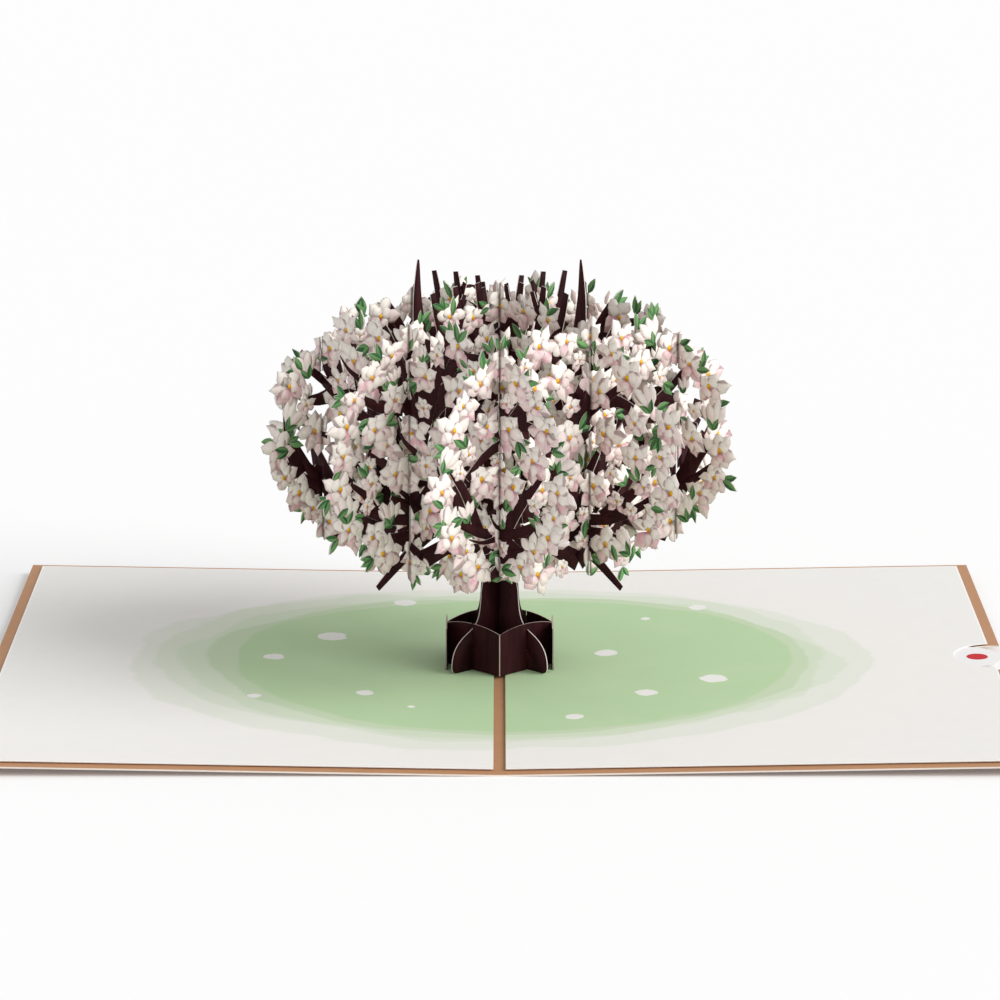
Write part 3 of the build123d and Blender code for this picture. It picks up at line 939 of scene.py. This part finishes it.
limb = {  # paths in shares of the half width and of the climb from the lowest bough
    "width": 5.0,
    "end": 1.6,
    "inset": 4.0,
    "half": 0.11,
    "sections": 12,
    "spike": ((0.42, 0.8), (0.44, 0.98), (0.435, 1.13)),
    "spikeEnd": 0.5,
    "shootWidths": (2.2, 1.3),
    "shootHalf": 0.08,
    "shoots": (  # thin ones among the crown's blossoms
        ((0.1, 0.72), (0.035, 0.99)), ((0.28, 0.74), (0.175, 0.985)),
        ((-0.04, 0.72), (-0.09, 0.99)), ((-0.29, 0.72), (-0.19, 0.975)),
        ((-0.16, 0.7), (-0.215, 0.96)),
    ),
    "centre": (
        ((0, 0.02), (0.3, 0.17), (0.62, 0.22), (0.88, 0.36)),
        ((0, 0.1), (0.2, 0.38), (0.5, 0.6), (0.74, 0.76)),
        ((0, 0.2), (0.14, 0.56), (0.3, 0.82), (0.36, 1.0)),
        ((0, 0.3), (0.06, 0.7), (0.12, 1.01)),
        ((0.14, 0.56), (0.2, 0.8), (0.24, 1.01)),
        ((0.3, 0.17), (0.5, 0.07), (0.66, -0.03)),
    ),
    "outer": (
        ((0, 0.04), (0.3, 0.18), (0.62, 0.24), (0.88, 0.38)),
        ((0, 0.24), (0.24, 0.5), (0.54, 0.62), (0.76, 0.76)),
        ((0, 0.5), (0.12, 0.78), (0.22, 0.92)),
        ((0.3, 0.18), (0.46, 0.1), (0.56, 0.05)),
    ),
}
twig = {
    "count": 10,  # to each bough
    "start": (0.15, 0.95),  # share of the bough
    "fork": (0.35, 0.95),  # radians away from it
    "length": (9, 21),
    "curve": (-0.45, 0.45),
    "root": (2.8, 5.2),  # widths
    "tip": (0.9, 2.4),
    "inside": 0.99,
    "levelStep": 0.004,
}


def growLimbs(sheet, lines, extent, rng):
    # boughs on both sides, then twigs that fork off them at random
    half, rise, drop = extent
    foot = canopy["waist"] - drop + limb["inset"]
    climb = canopy["waist"] + rise - foot
    count = limb["sections"]

    def follow(line, side, sections):
        return smoothPath([(side * across * half, foot + up * climb) for across, up in line], sections)

    paths = [follow(line, side, count) for line in lines for side in (-1, 1)]
    widths = limb["width"] + (limb["end"] - limb["width"]) * np.linspace(0, 1, count) ** 0.75
    for path in paths:
        sheet.addPath(path, widths, limb["half"])
    if not sheet.row:
        widths = np.linspace(limb["width"], limb["spikeEnd"], count)
        sheet.addPath(follow(limb["spike"], -sheet.family, count), widths, limb["half"])
        for line in limb["shoots"]:
            sheet.addPath(follow(line, 1, 4), np.linspace(*limb["shootWidths"], 4), limb["shootHalf"])
    for path in paths:
        for number in range(twig["count"]):
            start = rng.uniform(*twig["start"]) * (count - 1)
            step = min(int(start), count - 2)
            ahead = path[step + 1] - path[step]
            bearing = math.atan2(ahead[1], ahead[0]) + rng.choice([-1, 1]) * rng.uniform(*twig["fork"])
            length = rng.uniform(*twig["length"])
            places = bend(walk(path, start), bearing, rng.uniform(*twig["curve"]), length)
            if insideShare(places[2][None], extent)[0] > twig["inside"]:
                continue
            widths = np.linspace(rng.uniform(*twig["root"]), rng.uniform(*twig["tip"]), 6)
            sheet.addPath(smoothPath(places, 6), widths, limb["half"] - twig["levelStep"] * (number + 1))


thorn = {
    "count": 7,  # to each sheet
    "across": (-0.8, 0.8),
    "up": (-0.75, 0.75),
    "fork": (0.3, 1.6),
    "length": (6, 11),
    "curve": (0.3, 0.9),
    "root": (1.5, 2.1),
    "tip": 0.25,
    "inside": 0.9,
    "half": 0.245,
}


def addThorns(sheet, extent, rng):
    # short curved shoots that lie over the blossoms and lean outwards
    half, rise, drop = extent
    for number in range(thorn["count"]):
        across = rng.uniform(*thorn["across"]) * half
        root = np.array([across, canopy["waist"] + rng.uniform(*thorn["up"]) * drop])
        bearing = math.pi / 2 - np.sign(across) * rng.uniform(*thorn["fork"])
        curve = np.sign(across) * rng.uniform(*thorn["curve"])
        places = bend(root, bearing, curve, rng.uniform(*thorn["length"]))
        if insideShare(np.array(places[::2]), extent).max() < thorn["inside"]:
            widths = np.linspace(rng.uniform(*thorn["root"]), thorn["tip"], 8)
            sheet.addPath(smoothPath(places, 8), widths, thorn["half"])


def scatterBlossoms(rim, gaps, extent, rng):
    # darts thrown inside the outline, kept clear of the gaps and of each other
    half, rise, drop = extent
    taken = [tuple(one) for one in rim]
    low, high = blossom["inner"]
    phases, headings = rng.uniform(0, turn, 5), rng.uniform(0, math.pi, 5)

    def pattern(x, y):
        # mean of five waves at random headings, times 1.6
        along = x * np.cos(headings) + y * np.sin(headings)
        return np.sin(turn * blossom["cluster"] * along + phases).mean() * 1.6

    for number in range(blossom["darts"]):
        x = rng.uniform(-half, half)
        y = rng.uniform(canopy["waist"] - drop, canopy["waist"] + rise)
        radius = high - (high - low) * min(1.0, number / blossom["shrinking"]) ** 0.8
        if insideShare(np.array([[x, y]]), extent)[0] > blossom["inside"]:
            continue
        clear = gap["clear"] * gaps[:, 2] + 0.35 * radius
        if (np.hypot(gaps[:, 0] - x, gaps[:, 1] - y) < clear).any() or pattern(x, y) < blossom["bare"]:
            continue
        others = np.array(taken)
        apart = np.hypot(others[:, 0] - x, others[:, 1] - y)
        crowded = y > canopy["waist"] + blossom["crown"][0] * rise
        spacing = blossom["spacing"] * (blossom["crown"][1] if crowded else 1)
        if (apart >= spacing * (others[:, 2] + radius)).all():
            taken.append((x, y, radius))
    return np.array(taken)


def pickLevels(spots):
    # overlapping blossoms get different levels, the lowest that is free
    levels = np.zeros(len(spots), int)
    for number in range(len(spots)):
        apart = np.hypot(*(spots[:number, :2] - spots[number, :2]).T)
        near = apart < 1.15 * (spots[:number, 2] + spots[number, 2])
        levels[number] = min(set(range(12)) - set(levels[:number][near]))
    return levels


cup = {  # a side-on blossom; sizes are shares of its radius
    "largest": 3.9,
    "chance": 0.30,
    "drop": 0.7,
    "spreads": (-0.62, 0.62, -0.26, 0.26),  # turned from where it faces
    "length": 1.85,
    "width": 0.38,
    "sepalDrop": 0.9,
    "sepalSpreads": (-0.55, 0.55),
    "sepalLength": 0.98,
    "sepalWidth": 0.22,
}


def addBlossoms(sheet, spots, rng):
    # two whorls of petals round each heart, longer on the side that the flower faces and
    # pinker below; some of the small ones are cups of upright petals held by two sepals
    plates = {"petal": [], "cup": [], "sepal": [], "heart": []}
    step = blossom["petalStep"]
    for (x, y, radius), level in zip(spots, pickLevels(spots)):
        half = blossom["half"] + blossom["levelStep"] * level
        if radius < cup["largest"] and rng.random() < cup["chance"]:
            facing = math.pi / 2 + rng.normal(0, 0.45)
            for number, spread in enumerate(cup["spreads"]):
                long = cup["length"] * radius * rng.uniform(0.85, 1.0)
                plates["cup"].append((
                    x, y - cup["drop"] * radius, facing + spread, long,
                    cup["width"] * radius, half + step * number, rng.uniform(0.05, 0.35)))
            for spread in cup["sepalSpreads"]:
                plates["sepal"].append((
                    x, y - cup["sepalDrop"] * radius, facing + spread, cup["sepalLength"] * radius,
                    cup["sepalWidth"] * radius, half + step * 5, rng.uniform(0, 1)))
            continue
        facing = rng.uniform(0, turn)
        tilt = rng.uniform(*blossom["tilt"])
        whorls = [(rng.choice(counts), *rest) for counts, *rest in blossom["whorls"]]
        for whorl, (count, reach, width, blush) in enumerate(whorls):
            first = rng.uniform(0, turn)
            for number in range(count):
                # every second petal, then the ones between them
                turned = number * 2 % count + (number * 2 >= count and count % 2 == 0)
                bearing = first + turn * turned / count + rng.normal(0, 0.16)
                long = radius * reach * rng.uniform(0.86, 1.10) * (1 + tilt * math.cos(bearing - facing))
                wide = radius * width * rng.uniform(0.88, 1.15)
                down = 0.5 - 0.5 * math.sin(bearing)
                flush = np.clip(0.04 + blush * down**1.5 * rng.uniform(0.2, 1.5), 0, 1)
                over = half + step * (number + 6 * whorl)
                plates["petal"].append((x, y, bearing, long, wide, over, flush))
        size = radius * rng.uniform(*blossom["heart"])
        plates["heart"].append((
            x, y - 0.6 * size, math.pi / 2 + rng.normal(0, 0.4), 1.5 * size,
            0.52 * size, half + step * 11, rng.uniform(0, 1)))
    faces = {"petal": petalFace, "cup": petalFace, "sepal": leafFace, "heart": heartFace}
    for kind, rows in plates.items():
        rows = np.array(rows)
        sheet.addPlates(rows, makeOutlines(kind, rows[:, 3], rows[:, 4], rng), faces[kind])


def addLeaves(sheet, rimLeaves, spots, rng):
    # pairs at the outline's leaves, and pairs or threes beside some blossoms
    rows = []
    for x, y, bearing in rimLeaves:
        reach = leaf["length"] * (0.36 if math.sin(bearing) > 0.3 else 0.15)
        root = (x, y) + toward(bearing, reach)
        for spread in leaf["spreads"]:
            length = leaf["length"] * rng.uniform(0.42, 0.55)
            rows.append((*root, bearing + spread, length, leaf["length"] * 0.10))
    for x, y, radius in spots:
        if rng.random() < leaf["chance"]:
            bearing = rng.uniform(0, turn)
            root = (x, y) + toward(bearing, 0.78 * radius)
            for spread in leaf["three"] if rng.random() < 0.3 else leaf["pair"]:
                length = rng.uniform(*leaf["small"])
                rows.append((*root, bearing + spread, length, 0.22 * length))
    rows = np.array(rows)
    over = rng.random(len(rows)) < leaf["overChance"]
    half = np.where(over, leaf["overHalf"], leaf["half"])
    half += leaf["levelStep"] * (np.arange(len(rows)) % 12)
    outlines = makeOutlines("leaf", rows[:, 3], rows[:, 4], rng)
    rows = np.column_stack([rows, half, rng.uniform(0, 1, len(rows))])
    sheet.addPlates(rows, outlines, leafFace)


trunk = {
    "cut": 22.0,  # below this height the CAD solid's own trunk and roots are kept
    "top": 38.0,
    "halves": (5.95, 4.6),  # half widths at the cut and at the top
    "half": 0.15,  # half its thickness
    "clear": (5.0, 36.0),  # below this height no blossom is nearer the axis
}


def addTrunk(sheet, node):
    # roots and trunk up to the first boughs from a copy of the node, its cut top closed
    shape = bmesh.new()
    shape.from_mesh(nodes[node].data)
    bmesh.ops.remove_doubles(shape, verts=shape.verts, dist=0.001 * mm)
    top = (treeFoot + trunk["cut"]) * mm
    everything = shape.verts[:] + shape.edges[:] + shape.faces[:]
    bmesh.ops.bisect_plane(
        shape, geom=everything, plane_co=(0, 0, top), plane_no=(0, 0, 1), clear_outer=True)
    bmesh.ops.edgeloop_fill(shape, edges=[edge for edge in shape.edges if edge.is_boundary])
    bmesh.ops.triangulate(shape, faces=shape.faces[:])
    bmesh.ops.recalc_face_normals(shape, faces=shape.faces[:])
    points = np.array([vertex.co[:] for vertex in shape.verts])
    threes = np.array([[vertex.index for vertex in face.verts] for face in shape.faces])
    flat = np.array([abs(face.normal.dot(sheet.out)) > 0.7 for face in shape.faces])
    shape.free()
    blank = np.zeros(len(points))
    maps = np.stack([blank, blank], -1)
    sheet.add(points, maps, blank, blank, (threes[flat], barkFace), (threes[~flat], coreFace))
    # above the cut the trunk narrows evenly and is lost among the boughs
    rise = np.linspace(trunk["cut"], trunk["top"], 8)
    width = np.linspace(*trunk["halves"], 8)
    sheet.addLimb(np.stack([-width, rise], -1), np.stack([width, rise], -1), trunk["half"])


def makeSheet(node, family, row, seed):
    rng = np.random.default_rng(seed)
    outer = row != 0
    half = outerHalfWidth if outer else canopy["halfWidth"]
    extent = (half, canopy["rise"][outer], canopy["drop"][outer])
    stops = crossingBearings(lattice["shift"] if outer else 0, half)
    gaps, rim, leaves = layOut(extent, stops)
    sheet = Sheet(family, row)
    if not outer:
        addTrunk(sheet, node)
    growLimbs(sheet, limb["outer" if outer else "centre"], extent, rng)
    spots = scatterBlossoms(rim, gaps, extent, rng)
    if not outer:
        aside, height = trunk["clear"]
        spots = spots[(np.abs(spots[:, 0]) > aside) | (spots[:, 1] > height)]
    addBlossoms(sheet, spots, rng)
    addLeaves(sheet, leaves, spots, rng)
    addThorns(sheet, extent, rng)
    piece = sheet.finish(node.replace("tree_sheet", "blossom_sheet"), node)
    print(f"tree: {piece.name} has {len(spots)} blossoms and {len(piece.data.polygons)} faces")


for number, (letter, family) in enumerate((("a", 1), ("b", -1))):
    for row, name in ((0, "centre"), (-1, "left"), (1, "right")):
        makeSheet(f"tree_sheet_{letter}_{name}", family, row, 20 + 10 * number + row)
